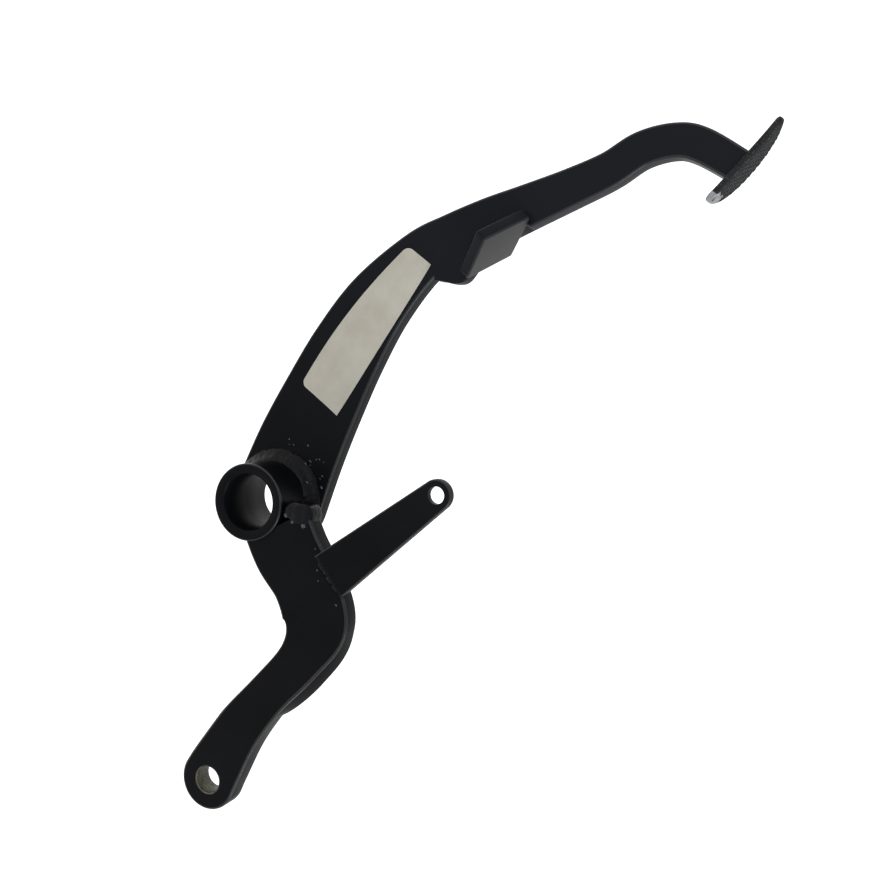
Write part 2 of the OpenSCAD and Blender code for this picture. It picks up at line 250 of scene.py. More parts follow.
# Ring turned about the Y axis from a closed profile of radius and height along Y
def turned(profile, steps, mark=0):
    a = np.linspace(0, 2 * np.pi, steps, endpoint=False)[:, None]
    r, y = profile[:, 0][None], profile[:, 1][None]
    points = np.stack([r * np.cos(a), np.broadcast_to(y, (steps, len(profile))), r * np.sin(a)], -1)
    return gridPart(points, closeRows=True, closeColumns=True, mark=mark)


# How the torch moves: degrees that the section sweeps, waves in the ripples' spacing as share of a
# ripple and count, bow of the ripples' fronts, counts and bow of the slow waves, how sharp and how
# high the ripples' crests stand, and how deep the bead's root lies
torch = {"sweep": (-8, 98), "steps": 25, "drifts": ((0.35, 3), (0.25, 7)), "rippleBow": 0.5,
         "waves": (2, 3, 5, 8, 13), "waveBow": 0.7, "crest": 0.7, "level": 0.6, "root": 0.25}


# Weld bead in a corner: its section is an arc from face a to face b about each point of the path,
# run a little into both faces and pressed flatter in the middle; its size swells in overlapping
# ripples whose fronts bow along the run and whose spacing drifts, it wanders slowly as the torch
# did, and it dies away at open ends
def beadPart(path, toA, toB, sizes, seed, closed=False, ripple=2.0, depth=0.05, wander=0.04,
             flat=0.12):
    rng = np.random.default_rng(seed)
    step = np.linalg.norm(np.diff(path, axis=0), axis=1)
    along = np.concatenate([[0], np.cumsum(step)])
    total = along[-1] + (np.linalg.norm(path[0] - path[-1]) if closed else 0)
    a = np.radians(np.linspace(*torch["sweep"], torch["steps"]))[None]
    bent = np.clip(a, 0, np.pi / 2)
    count = max(2, round(total / ripple))
    share = (along / total)[:, None]
    drift = sum(size * np.sin(2 * np.pi * n * share + rng.uniform(0, 6.28))
                for size, n in torch["drifts"])
    phase = (share * count + drift + torch["rippleBow"] * np.sin(2 * bent)) % 1
    scallop = np.sin(np.pi * phase) ** torch["crest"] - torch["level"]
    waves = sum(rng.uniform(0.4, 1) * wander * np.sin(2 * np.pi * n * share + rng.uniform(0, 6.28)
                + torch["waveBow"] * bent) for n in torch["waves"])
    growth = (1 + waves + depth * scallop) * (1 - flat * np.sin(2 * bent))
    if not closed:
        ends = np.clip(np.minimum(along, total - along)[:, None] / min(sizes), 0, 1)
        growth = growth * np.sqrt(np.clip(1 - (1 - ends) ** 2, 0.0004, 1))
    arc = (path[:, None] + (growth * np.cos(a) * sizes[0])[..., None] * toA[:, None]
           + (growth * np.sin(a) * sizes[1])[..., None] * toB[:, None])
    back = path[:, None] - torch["root"] * (toA + toB)[:, None]
    points = np.concatenate([arc, back], 1)
    part = gridPart(points, closeRows=closed, closeColumns=True)
    if closed:
        return [part]
    return [part, capPart(points[0]), capPart(points[-1])]


# Lump of weld metal: a ball stretched to three radii, swollen unevenly by three slow waves
def lumpPart(middle, radii, steps, mark=0, uneven=0.0, seed=0):
    rng = np.random.default_rng(seed)
    rise = np.linspace(-np.pi / 2, np.pi / 2, steps[0])[:, None]
    turn = np.linspace(0, 2 * np.pi, steps[1], endpoint=False)[None]
    swell = 1 + sum(rng.uniform(0.4, 1) * uneven * np.sin(n * turn + m * rise + rng.uniform(0, 6.28))
                    for n, m in ((1, 2), (2, 3), (3, 5))) * np.cos(rise)
    ball = np.stack([np.cos(rise) * np.cos(turn) * swell, np.cos(rise) * np.sin(turn) * swell,
                     np.sin(rise) + 0 * turn], -1)
    return gridPart(np.asarray(middle) + np.asarray(radii) * ball, closeColumns=True, mark=mark)


# Plate from an outline with rounded edges: rings step out along the edge profile, and the sides and
# the upper rounded edge may take another finish than the top
def slabPart(outline, normals, edge, thick, place, sides=0, rounded=0):
    out, deep = edgeProfile(edge, thick)
    rings = outline[None] + (out - edge)[:, None, None] * normals[None]
    points = place(rings[..., 0], rings[..., 1], np.broadcast_to(deep[:, None], rings.shape[:2]))
    onRings = np.full((len(out) - 1, 1), sides)
    onRings[:len(out) // 2 - 1] = rounded
    return [gridPart(points, closeColumns=True, mark=onRings), capPart(points[0]),
            capPart(points[-1], sides)]


# Closed smooth outline through points given clockwise, with its outward normals
def closedOutline(points, steps=12):
    p = np.asarray(points, float)
    wrapped = np.vstack([p[-2:], p, p[:2]])
    line = smoothLine(wrapped, steps)[2 * steps:-steps - 1]
    run = np.roll(line, -1, 0) - np.roll(line, 1, 0)
    run = run / np.linalg.norm(run, axis=1)[:, None]
    return line, np.stack([-run[:, 1], run[:, 0]], 1)


# Outline of a rectangle with round corners, and its outward normals
def roundedBox(length, width, corner, steps=8):
    a = np.linspace(0, np.pi / 2, steps + 1)
    starts = np.arange(4)[:, None] * np.pi / 2
    angle = (starts + a).ravel()
    normals = np.stack([np.cos(angle), np.sin(angle)], 1)
    signs = np.repeat(np.array([[1, 1], [-1, 1], [-1, -1], [1, -1]]), steps + 1, 0)
    return signs * (np.array([length, width]) / 2 - corner) + corner * normals, normals


# Turns an sRGB hex colour into the linear values that shaders use
def linear(hexColour):
    c = np.array([int(hexColour[i:i + 2], 16) for i in (1, 3, 5)]) / 255
    c = np.where(c <= 0.04045, c / 12.92, ((c + 0.055) / 1.055) ** 2.4)
    return (*c.tolist(), 1.0)


# Adds one shader node with its settings, its plain values and its links
def addNode(tree, kind, settings=None, values=None, links=None):
    node = tree.nodes.new(kind)
    for key, value in (settings or {}).items():
        setattr(node, key, value)
    for key, value in (values or {}).items():
        node.inputs[key].default_value = value
    for key, source in (links or {}).items():
        tree.links.new(source, node.inputs[key])
    return node


# Material under a name, with no nodes in it yet
def newMaterial(name):
    material = bpy.data.materials.new(name)
    material.use_nodes = True
    material.node_tree.nodes.clear()
    return material


# What every finish has unless its own dictionary says otherwise: IOR of a resin coat, no metal,
# where along X the paler tone of painted light comes in, and how far mottle, specks and roughness
# spread
coatBase = {"ior": 1.5, "metallic": 0.0, "paintedLightAmount": 0.0, "paintedLightFrom": 20, "paintedLightTo": 110,
            "paintedLightTone": "#202227", "mottleFrom": 0.35, "mottleTo": 0.7, "speckBand": 0.06,
            "roughBelow": 0.06, "roughAbove": 0.08, "skinHeight": 0.2, "waveHeight": 0.6}


# Coated or bare steel: base colour mottled between two tones and paler towards the toe as painted
# light, a fine skin and a coarser unevenness in the bump, and a roughness that wanders
def coatMaterial(name, own):
    values = {**coatBase, **own}
    material = newMaterial(name)
    tree = material.node_tree
    where = addNode(tree, "ShaderNodeTexCoord").outputs["Object"]

    # Noise whose features are about a size in millimetres across
    def noise(size, detail, roughness=0.5):
        return addNode(tree, "ShaderNodeTexNoise", {}, {"Scale": 1000 / size, "Detail": detail,
                       "Roughness": roughness}, {"Vector": where}).outputs["Fac"]

    # Blend by a share from a colour, or from another blend's output, to a second colour
    def blend(share, first, second):
        plain, links = ({6: first}, {}) if isinstance(first, tuple) else ({}, {6: first})
        return addNode(tree, "ShaderNodeMix", {"data_type": "RGBA"}, {**plain, 7: second},
                       {**links, 0: share}).outputs[2]

    mottle = noise(values["mottle"], 4.0, 0.6)
    spread = addNode(tree, "ShaderNodeMapRange", {}, {"From Min": values["mottleFrom"],
                     "From Max": values["mottleTo"]}, {"Value": mottle}).outputs["Result"]
    tone = blend(spread, linear(values["dark"]), linear(values["pale"]))
    # Painted light: the base colour turns paler along X towards the toe
    along = addNode(tree, "ShaderNodeSeparateXYZ", {}, {}, {"Vector": where}).outputs["X"]
    paintedLightShare = addNode(tree, "ShaderNodeMapRange", {}, {"From Min": values["paintedLightFrom"] / 1000,
                      "From Max": values["paintedLightTo"] / 1000, "To Max": values["paintedLightAmount"]},
                      {"Value": along}).outputs["Result"]
    tone = blend(paintedLightShare, tone, linear(values["paintedLightTone"]))
    speckle = addNode(tree, "ShaderNodeMapRange", {}, {"From Min": values["speckFrom"],
                      "From Max": values["speckFrom"] + values["speckBand"]},
                      {"Value": noise(values["speck"], 2.0)}).outputs["Result"]
    dust = addNode(tree, "ShaderNodeMath", {"operation": "MULTIPLY"}, {1: values["dust"]},
                   {0: speckle}).outputs[0]
    colour = blend(dust, tone, linear(values["dustTone"]))
    rough = addNode(tree, "ShaderNodeMapRange", {}, {"To Min": values["rough"] - values["roughBelow"],
                    "To Max": values["rough"] + values["roughAbove"]},
                    {"Value": mottle}).outputs["Result"]
    fine = addNode(tree, "ShaderNodeBump", {}, {"Strength": values["skinStrength"],
                   "Distance": values["skinHeight"] / 1000},
                   {"Height": noise(values["skin"], 2.0)}).outputs["Normal"]
    bump = addNode(tree, "ShaderNodeBump", {}, {"Strength": values["waveStrength"],
                   "Distance": values["waveHeight"] / 1000},
                   {"Height": noise(values["wave"], 1.0), "Normal": fine}).outputs["Normal"]
    shader = addNode(tree, "ShaderNodeBsdfPrincipled", {}, {"IOR": values["ior"],
                     "Metallic": values["metallic"], "Specular IOR Level": values["specular"]},
                     {"Base Color": colour, "Roughness": rough, "Normal": bump})
    addNode(tree, "ShaderNodeOutputMaterial", {}, {}, {"Surface": shader.outputs["BSDF"]})
    return material


# Satin black powder coat: near black. Its fine matt texture swallows most of the mirrored light, so
# the specular level is low, and a faint orange peel breaks up what sheen is left on the faces
blackCoat = coatMaterial("satin_black_powder_coat_on_steel", {
    "dark": "#090a0c", "pale": "#0f1013", "mottle": 14, "speck": 0.7, "speckFrom": 0.7, "dust": 0.12,
    "dustTone": "#55565a", "rough": 0.4, "skin": 0.9, "wave": 7, "skinStrength": 0.12,
    "waveStrength": 0.1, "specular": 0.055, "paintedLightAmount": 0.8})
# The same coat on rounded corners: smoother, with a lighter base colour as a painted highlight, so
# the corners show as thin lighter lines
edgeCoatPaintedHighlight = coatMaterial("black_coat_on_edges_painted_lighter_as_highlight", {
    "dark": "#101114", "pale": "#1b1c1f", "mottle": 9, "speck": 0.7, "speckFrom": 0.66, "dust": 0.3,
    "dustTone": "#6c6d70", "rough": 0.34, "skin": 0.9, "wave": 5, "skinStrength": 0.12,
    "waveStrength": 0.1, "specular": 0.3, "paintedLightAmount": 0.6})
# Coat pooled over weld beads: glossier, so the ripples catch a little light
weldCoat = coatMaterial("black_powder_coat_over_weld_bead", {
    "dark": "#090a0d", "pale": "#141518", "mottle": 5, "speck": 0.6, "speckFrom": 0.68, "dust": 0.2,
    "dustTone": "#6a6a6c", "rough": 0.28, "skin": 0.8, "wave": 2.0, "skinStrength": 0.2,
    "waveStrength": 0.45, "specular": 0.09, "paintedLightAmount": 0.3})
# Spatter and small lumps of weld under a full gloss skin, with a grey base colour as a painted
# highlight: each shows one sharp light
glossBeadCoatPaintedGlint = coatMaterial("gloss_coat_over_spatter_painted_grey_glint", {
    "dark": "#1c1d20", "pale": "#3a3b3d", "mottle": 2, "speck": 0.5, "speckFrom": 0.6, "dust": 0.4,
    "dustTone": "#8d8e90", "rough": 0.16, "skin": 0.5, "wave": 1, "skinStrength": 0.2,
    "waveStrength": 0.2, "specular": 0.5})
# Coat on the pressed knurl: matt, with dust specks, and greyer than the faces of the arm as painted
# light on its upward face
treadCoatPaintedLit = coatMaterial("matt_black_coat_on_knurl_painted_lighter", {
    "dark": "#1b1d1f", "pale": "#2a2c2d", "mottle": 6, "speck": 0.5, "speckFrom": 0.58, "dust": 0.4,
    "dustTone": "#6b6c6a", "rough": 0.6, "skin": 0.5, "wave": 3, "skinStrength": 0.3,
    "waveStrength": 0.1, "specular": 0.14})
# Rear lip of the tread: a pale dull steel tone as a painted highlight
treadLipPaintedHighlight = coatMaterial("pale_tone_painted_highlight_at_tread_lip", {
    "dark": "#76787b", "pale": "#b6b8bb", "mottle": 3, "speck": 0.5, "speckFrom": 0.6, "dust": 0.3,
    "dustTone": "#4a4b4d", "rough": 0.45, "skin": 0.5, "wave": 2, "skinStrength": 0.2,
    "waveStrength": 0.15, "metallic": 0.4, "specular": 0.4})
# Flat of the stop: the same coat, dull, its slightly brown grey base colour made lighter as painted
# light where the top faces the lamp
stopTopCoatPaintedLit = coatMaterial("black_coat_painted_lit_on_stop_top", {
    "dark": "#1c1c1d", "pale": "#2a2a29", "mottle": 8, "speck": 0.7, "speckFrom": 0.66, "dust": 0.2,
    "dustTone": "#5c5b58", "rough": 0.5, "skin": 0.9, "wave": 5, "skinStrength": 0.12,
    "waveStrength": 0.1, "specular": 0.32})
# Drilled hole where the coat is rubbed away: dull olive brown steel
bareSteel = coatMaterial("bare_steel_worn_in_drilled_hole", {
    "dark": "#33332b", "pale": "#605f52", "mottle": 3, "speck": 0.5, "speckFrom": 0.6, "dust": 0.4,
    "dustTone": "#8a8878", "rough": 0.45, "skin": 0.4, "wave": 2, "skinStrength": 0.3,
    "waveStrength": 0.2, "metallic": 0.7, "specular": 0.4})
# Cut paper strip: cream, matt, with soft fibre mottling
paper = coatMaterial("cream_paper_self_adhesive_strip", {
    "dark": "#d0cbbd", "pale": "#dcd8cc", "mottle": 9, "speck": 0.6, "speckFrom": 0.66, "dust": 0.3,
    "dustTone": "#aaa698", "rough": 0.75, "skin": 0.5, "wave": 6, "skinStrength": 0.2,
    "waveStrength": 0.25, "ior": 1.45, "specular": 0.3})
print("stage: materials made")

# Pedal arm, from its toe end back to the round root that the tube passes through
armLine = np.stack([armShape[:, 0] * arm["reach"],
                    armShape[:, 2] * arm["rise"] - armShape[:, 1] * arm["dip"],
                    arm["rootWidth"] + armShape[:, 3] * (arm["toeWidth"] - arm["rootWidth"])], 1)
armParts = bandPlate(smoothLine(armLine, arm["steps"])[::-1], arm, armPlace)
armPiece = addPiece("pedal_arm_plate", armParts, [blackCoat, edgeCoatPaintedHighlight])
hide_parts("pedal_arm")

# Rod lever, bent inboard by its joggle
leverLine = smoothLine(leverShape * [lever["back"], lever["up"], 1], lever["steps"])
leverParts = bandPlate(leverLine, lever, bentPlace(lever), (1, 2))
leverPiece = addPiece("rod_lever_plate", leverParts, [blackCoat, edgeCoatPaintedHighlight, bareSteel])
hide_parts("rod_lever")

# Spring arm: straight taper from its root to the round end
springLine = np.linspace([*spring["root"], spring["rootWidth"]],
                         [*spring["tip"], 2 * spring["endRadius"]], spring["steps"])
springParts = bandPlate(springLine, spring, flatPlace(spring["face"]))
springPiece = addPiece("spring_arm_plate", springParts, [blackCoat, edgeCoatPaintedHighlight])
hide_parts("spring_arm")

# Pivot tube: outer rims rounded, bore mouths chamfered with their corners just broken
quarter = np.linspace(0, np.pi / 2, 7)
rimR = tube["radius"] - tube["edge"] * (1 - np.sin(quarter))
rimY = tube["half"] - tube["edge"] * (1 - np.cos(quarter))
mouth = np.array([[tube["bore"] + tube["chamfer"] + tube["soft"], tube["half"]],
                  [tube["bore"] + tube["chamfer"], tube["half"] - tube["soft"] / 2],
                  [tube["bore"] + tube["soft"], tube["half"] - tube["chamfer"]],
                  [tube["bore"], tube["half"] - tube["chamfer"] - tube["soft"]],
                  [tube["bore"], tube["waist"]]])
inboardHalf = np.vstack([mouth[::-1], np.stack([rimR, rimY], 1),
                         [[tube["radius"], tube["half"] - tube["edge"] - 2 * tube["soft"]],
                          [tube["radius"], tube["waist"]]]])
outboardHalf = inboardHalf[::-1] * [1, -1]
tubeProfile = np.vstack([inboardHalf, outboardHalf])
onRim = ((tubeProfile[:, 0] > tube["radius"] - tube["edge"] - 0.01)
         & (np.abs(tubeProfile[:, 1]) > tube["half"] - tube["edge"] - 0.01)).astype(int)
tubePiece = addPiece("pivot_tube_turned", [turned(tubeProfile, tube["steps"], onRim)],
                     [blackCoat, edgeCoatPaintedHighlight])
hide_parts("pivot_tube")
print("stage: plates and tube built")

# Radius of the tread's round outer edge, from its half length and its width
treadArc = (tread["half"] ** 2 + tread["width"] ** 2) / (2 * tread["width"])


# Tread: its own frame has x along the plate, y inboard and up square to it; both ends fall away by
# crown x^4 / half^4, and the round outer edge leans back by a skew, which makes the rear end fuller
def treadPlace(x, y, up):
    t = np.radians(tread["tilt"])
    up = up - tread["crown"] * (x / tread["half"]) ** 4
    x = x + tread["forward"] + tread["skew"] * y
    return np.stack([tread["x"] + x * np.cos(t) - up * np.sin(t), y + tread["inboard"],
                     tread["z"] + x * np.sin(t) + up * np.cos(t)], -1)


# Half-round plan of the tread, set in from its edge: rows run fore and aft from the straight inboard
# edge to the round outer one; a row is as long as the arc and the corner circles leave it there
def treadPlan(inset, rows, columns):
    half, width, corner = tread["half"], tread["width"], tread["corner"]
    deep = inset + (width - 2 * inset) * np.sin(np.pi / 2 * np.linspace(0, 1, rows))
    arc = np.sqrt(np.clip((treadArc - inset) ** 2 - (deep - width + treadArc) ** 2, 0, None))
    into = np.clip(corner - deep, 0, None)
    side = half - corner + np.sqrt(np.clip((corner - inset) ** 2 - into ** 2, 0, None))
    reach = np.minimum(arc, side)
    u = np.linspace(-1, 1, columns)
    return reach[:, None] * u, -deep[:, None] + 0 * u


# Points of a grid's border, in order round it
def borderOf(grid):
    return np.concatenate([grid[0], grid[1:, -1], grid[-1, -2::-1], grid[-2:0:-1, 0]])


# The top carries pressed diamonds: raised where neither of two crossed rulings runs, and fading out
# towards a plain rim
rows = round(tread["rowShare"] * tread["width"] / tread["cell"])
columns = round(2 * tread["half"] / tread["cell"])
planX, planY = treadPlan(tread["edge"], rows, columns)
rulings = [(planX + planY * slant) / tread["pitch"] for slant in (tread["slant"], -tread["slant"])]
ridge = np.minimum(*[np.abs(ruling % 1 - 0.5) for ruling in rulings]) * 2
toRim = treadArc - np.hypot(planX, planY + tread["width"] - treadArc)
border = np.minimum(np.minimum(-planY, toRim), tread["half"] - np.abs(planX)) - tread["edge"]
height = (tread["tooth"] * np.clip(ridge * tread["sharpness"], 0, 1)
          * np.clip(border / tread["plainRim"], 0, 1))
topUp = tread["thick"] - tread["tooth"] + height
treadParts = [gridPart(treadPlace(planX, planY, topUp)), gridPart(treadPlace(planX, planY, 0 * planX))]
rings = []
for outStep, deepStep in zip(*edgeProfile(tread["edge"], tread["thick"] - tread["tooth"])):
    rimX, rimY = treadPlan(tread["edge"] - outStep, rows, columns)
    up = tread["thick"] - tread["tooth"] - deepStep
    rings.append(treadPlace(borderOf(rimX), borderOf(rimY), up))
treadParts.append(gridPart(np.stack(rings), closeColumns=True))
treadPiece = addPiece("tread_knurled_plate", treadParts, [treadCoatPaintedLit, treadLipPaintedHighlight])

# Faces behind a wandering line near the rear end take the pale painted highlight
middles = np.empty(3 * len(treadPiece.data.polygons))
treadPiece.data.polygons.foreach_get("center", middles)
middles = middles.reshape(-1, 3) * 1000
highlightLineX = tread["x"] + tread["forward"] + tread["highlightLine"]
lineWander = 0.5 * np.sin(1.7 * middles[:, 1]) + 0.3 * np.sin(4.1 * middles[:, 1] + 1)
isPaintedHighlight = (middles[:, 0] < highlightLineX + lineWander) & (middles[:, 1] > tread["highlightInboardOf"])
treadPiece.data.polygons.foreach_set("material_index", isPaintedHighlight.astype(np.int32))
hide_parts("tread_plate")
print("stage: tread built")

# Stop plate: rounded square slab turned cornerwise and tilted up towards the toe
outline, normals = roundedBox(stop["short"], stop["long"], stop["corner"])
tilt = np.radians(stop["tilt"])


# From the stop's flat, with q down from its top: turned about the vertical, then tilted about Y
def stopPlace(a, b, q):
    t = np.radians(stop["turn"])
    x = a * np.cos(t) - b * np.sin(t)
    y = a * np.sin(t) + b * np.cos(t)
    up = stop["thick"] - q
    return np.stack([stop["x"] + x * np.cos(tilt) - up * np.sin(tilt), stop["y"] + y,
                     stop["z"] + x * np.sin(tilt) + up * np.cos(tilt)], -1)


# The stop's top takes the coat made lighter as painted light, its sides the plain coat and its upper
# rounded edge the edge coat
stopPiece = addPiece("stop_plate_slab", slabPart(outline, normals, stop["edge"], stop["thick"],
                     stopPlace, 1, 2), [stopTopCoatPaintedLit, blackCoat, edgeCoatPaintedHighlight])
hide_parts("stop_plate")


# Points of a circle about the pivot at a height along Y, with its outward and sideways directions
def tubeCorner(y, side, start, end, count, closed=False):
    a = np.linspace(np.radians(start), np.radians(end), count, endpoint=not closed)
    out = np.stack([np.cos(a), 0 * a, np.sin(a)], 1)
    aside = np.repeat(np.array([[0.0, side, 0.0]]), count, 0)
    return tube["radius"] * out + [0, y, 0], out, aside


# Points of a straight line between two places, with the directions of the faces that meet there
def straightCorner(start, end, toA, toB, count=80):
    path = np.linspace(start, end, count)
    return path, np.repeat([toA], count, 0), np.repeat([toB], count, 0)


# Welds: ripple width and size differ from bead to bead as the torch moved; sizes are along the first
# and the second face
beads = {"ring": {"sizes": (4.4, 3.9), "closed": True, "ripple": 2.4, "depth": 0.035,
                  "wander": 0.026, "flat": 0.27, "seed": 3},
         "outerRing": {"sizes": (2.2, 1.45), "closed": True, "ripple": 2.2, "depth": 0.04,
                       "wander": 0.03, "seed": 4},
         "lever": {"sizes": (2.3, 2.3), "seed": 5},
         "spring": {"sizes": (2.3, 2.5), "ripple": 2.2, "wander": 0.05, "seed": 6},
         "tread": {"sizes": (2.4, 2.4), "seed": 7},
         "stopNear": {"sizes": (2.3, 2.3), "seed": 8},
         "stopFar": {"sizes": (2.3, 2.3), "seed": 9}}
# How far the open runs reach: degrees about the pivot, share of the spring arm's width, and half
# lengths, with the rise of the tread's run over its half
runs = {"lever": (48, 132), "spring": 0.44, "tread": 3.8, "treadRise": 0.2, "stopNear": 6.8,
        "stopFar": 3.4}
armBack = arm["face"] - arm["thick"]
leverBack = lever["face"] - lever["thick"]
ringPath = tubeCorner(arm["face"], 1, 0, 360, 720, True)
inboardRing = addPiece("tube_weld_inboard_bead", beadPart(*ringPath, **beads["ring"]),
                       [weldCoat])
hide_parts("tube_weld_inboard")
outPath = tubeCorner(armBack, -1, 0, 360, 600, True)
outboardRing = addPiece("tube_weld_outboard_bead", beadPart(*outPath, **beads["outerRing"]),
                        [weldCoat])
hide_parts("tube_weld_outboard")

# Lever weld: a run on the outboard face, and a pad with a few lumps that fills the notch between
# the tube and the lever's forward corner; each lump is a place and a size
pad = {"edge": 1.4, "deep": 7.6, "rings": 9, "edgeSteps": 8, "rise": 0.75, "fall": 0.025,
       "top": (10, 16.3), "lowest": -0.4, "fade": 3,
       "outline": [[5.9, 11.4], [5.8, 14.4], [6.5, 18.2], [8.3, 21.3], [10.8, 21.8], [13.2, 20.2],
                   [14.2, 17.6], [13.0, 14.8], [11.0, 12.2], [8.4, 10.8]],
       "lumps": [((6.3, 11.9, 13.4), 0.75), ((6.3, 12.0, 16.6), 0.6), ((8.2, 12.0, 20.6), 0.85)]}
leverPath = tubeCorner(leverBack, -1, *runs["lever"], 260)
leverBeads = beadPart(*leverPath, **beads["lever"])
padLine, padOut = closedOutline(pad["outline"])


# Pad of weld metal: its top is a low dome, rise - fall r^2, with faint waves across the run, which
# fade out down the pad's sides
def padPlace(x, z, q):
    dome = pad["rise"] - pad["fall"] * ((x - pad["top"][0]) ** 2 + (z - pad["top"][1]) ** 2)
    waves = 0.07 * np.sin(1.5 * (z + 0.6 * x)) + 0.04 * np.sin(2.3 * x - 0.9 * z)
    share = np.clip(1 - q / pad["fade"], 0, 1)
    return np.stack([x, lever["face"] + share * (np.clip(dome, pad["lowest"], 1) + waves) - q, z], -1)


padMiddle = padLine.mean(0)
padShares = np.linspace(0, 1, pad["rings"])[1:, None, None]
outSteps, deepSteps = edgeProfile(pad["edge"], pad["deep"], pad["edgeSteps"])
padTop = padMiddle + (padLine - pad["edge"] * padOut - padMiddle) * padShares
padSide = padLine + (outSteps[1:, None, None] - pad["edge"]) * padOut
padRings = np.vstack([padTop, padSide])
padDepths = np.concatenate([np.zeros(len(padTop)), deepSteps[1:]])[:, None]
padGrid = padPlace(padRings[..., 0], padRings[..., 1], padDepths + 0 * padRings[..., 0])
leverBeads += [gridPart(padGrid, closeColumns=True), capPart(padGrid[0]), capPart(padGrid[-1])]
leverBeads += [lumpPart(place, (size, size * 0.8, size * 1.1), (14, 24), 1, 0.08, 11 + number)
               for number, (place, size) in enumerate(pad["lumps"])]
leverBead = addPiece("lever_weld_bead", leverBeads, [weldCoat, glossBeadCoatPaintedGlint])
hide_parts("lever_weld")

# Weld across the spring arm's root, over most of its width
springRoot = np.array([spring["root"][0], 0, spring["root"][1]])
springRun = np.array([spring["tip"][0], 0, spring["tip"][1]]) - springRoot
springRun = springRun / np.linalg.norm(springRun)
springSide = np.array([-springRun[2], 0, springRun[0]])
springFace = springRoot + [0, lever["face"], 0]
reachSide = runs["spring"] * spring["rootWidth"]
springPath = straightCorner(springFace - reachSide * springSide, springFace + reachSide * springSide,
                            -springRun, [0, 1, 0], 140)
springBead = addPiece("spring_arm_weld_bead", beadPart(*springPath, **beads["spring"]),
                      [weldCoat])
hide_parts("spring_arm_weld")

# Weld under the tread, on the arm's outboard face
toeFrom = np.array([arm["reach"] - runs["tread"], armBack, tread["z"] - runs["treadRise"]])
toeTo = np.array([arm["reach"] + runs["tread"], armBack, tread["z"] + runs["treadRise"]])
toePath = straightCorner(toeFrom, toeTo, [0, -1, 0], [0, 0, -1])
treadBead = addPiece("tread_weld_bead", beadPart(*toePath, **beads["tread"]), [weldCoat])
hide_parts("tread_weld")

# Welds under the stop plate, on both faces of the arm
stopAlong = np.array([np.cos(tilt), 0, np.sin(tilt)])
stopUp = np.array([-np.sin(tilt), 0, np.cos(tilt)])
stopMiddle = np.array([stop["x"], 0, stop["z"]])
near = stopMiddle + [0, arm["face"], 0]
farSide = stopMiddle + [0, armBack, 0]
nearReach, farReach = runs["stopNear"] * stopAlong, runs["stopFar"] * stopAlong
nearPath = straightCorner(near - nearReach, near + nearReach, [0, 1, 0], -stopUp, 110)
farPath = straightCorner(farSide - farReach, farSide + farReach, [0, -1, 0], -stopUp)
stopBeads = beadPart(*nearPath, **beads["stopNear"]) + beadPart(*farPath, **beads["stopFar"])
stopBead = addPiece("stop_weld_beads", stopBeads, [weldCoat])
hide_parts("stop_weld")

# Weld metal that fills the bend of the arm's edge up to the stop plate, drawn in the stop's own
# frame; it stands a hair proud of both faces of the arm
seat = {"edge": 0.8, "proud": 0.05,
        "outline": [[-22.2, -7.6], [-20.9, -3.8], [-18.2, 0.0], [-15.2, 1.5], [-10, 1.0], [-4, 0.5],
                    [-4, -9.6], [-13.6, -13.4]]}


# From the tilted frame, a along it and b square to it, with q outboard from the inboard face
def seatPlace(a, b, q):
    return np.stack([stop["x"] + a * np.cos(tilt) - b * np.sin(tilt), arm["face"] + seat["proud"] - q,
                     stop["z"] + a * np.sin(tilt) + b * np.cos(tilt)], -1)


seatLine, seatOut = closedOutline(seat["outline"], 10)
seatPiece = addPiece("stop_seat_weld_fill", slabPart(seatLine, seatOut, seat["edge"],
                     arm["thick"] + 2 * seat["proud"], seatPlace), [blackCoat])
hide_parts("pedal_arm")

# Spatter: half-sunk beads of metal, some thrown on the arm round the ring weld by chance, the rest
# at set places on the arm, the ring and the lever
spatter = {"count": 12, "turns": (-0.55, 0.5), "nearest": 17.6, "furthest": 22.5, "smallest": 0.2,
           "largest": 0.42, "sink": 0.8, "steps": (7, 10),
           "places": [[14.6, -5.2, 11.0], [16.8, -5.0, 1.3], [16.2, -4.9, 0.1], [13.4, -2.4, 6.8],
                      [0.6, 12, 33.5], [-1.8, 12, 36.0], [-3.2, 12, 45.8], [5.5, 12, 28.6]],
           "sizes": [0.6, 0.5, 0.6, 0.5, 0.4, 0.3, 0.45, 0.3]}
rng = np.random.default_rng(21)
turns = rng.uniform(*spatter["turns"], spatter["count"])
ranges = rng.uniform(spatter["nearest"], spatter["furthest"], spatter["count"])
sizes = rng.uniform(spatter["smallest"], spatter["largest"], spatter["count"])
onArm = np.stack([ranges * np.cos(turns), arm["face"] + 0 * turns, ranges * np.sin(turns)], 1)
ballPlaces = np.vstack([onArm, spatter["places"]])
ballSizes = np.concatenate([sizes, spatter["sizes"]])
balls = [lumpPart(place, (size, size * spatter["sink"], size), spatter["steps"])
         for place, size in zip(ballPlaces, ballSizes)]
spatterPiece = addPiece("weld_spatter_beads", balls, [glossBeadCoatPaintedGlint])
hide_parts("tube_weld_inboard")
print("stage: welds built")

